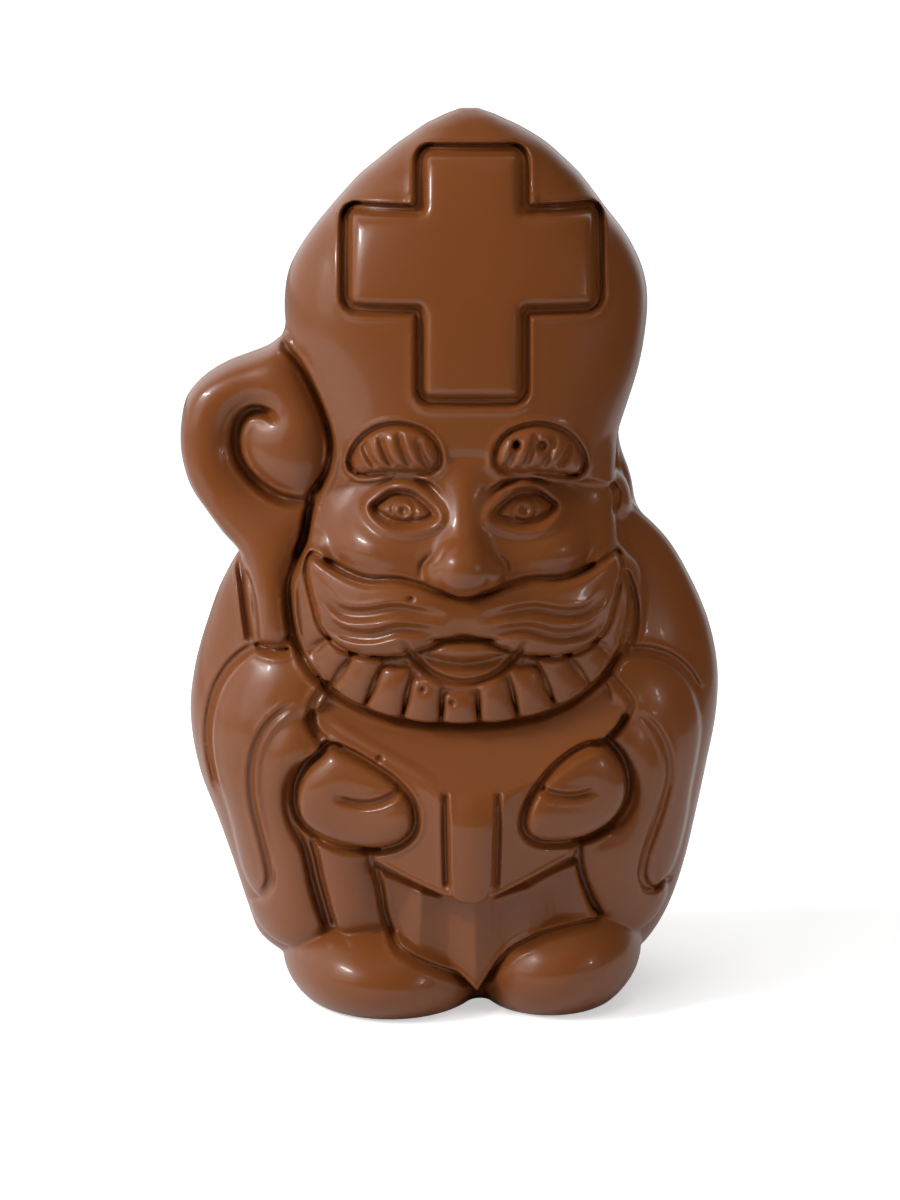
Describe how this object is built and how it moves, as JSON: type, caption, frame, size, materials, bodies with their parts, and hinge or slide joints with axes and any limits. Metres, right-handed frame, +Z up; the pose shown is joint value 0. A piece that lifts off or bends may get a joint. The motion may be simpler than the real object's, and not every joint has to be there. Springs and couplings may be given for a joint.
{
  "type": "saint nicholas chocolate figure",
  "caption": "Moulded milk chocolate figure of a bearded bishop in a tall mitre with a cross, holding a crozier and an open book, standing on a flat base.",
  "frame": {"origin": "on the flat base, on the plane where the mould's two halves meet, under the mitre's peak", "axes": "+Z up from the base to the mitre's peak, -Y the way the figure faces, +X to its left hand"},
  "size_m": [0.09, 0.0588, 0.1504],
  "materials": {
    "milk_chocolate": "tempered milk chocolate, smooth from the mould, with a soft gloss"
  },
  "bodies": {
    "root": {"chocolate_figure": "milk_chocolate"}
  },
  "joints": []
}
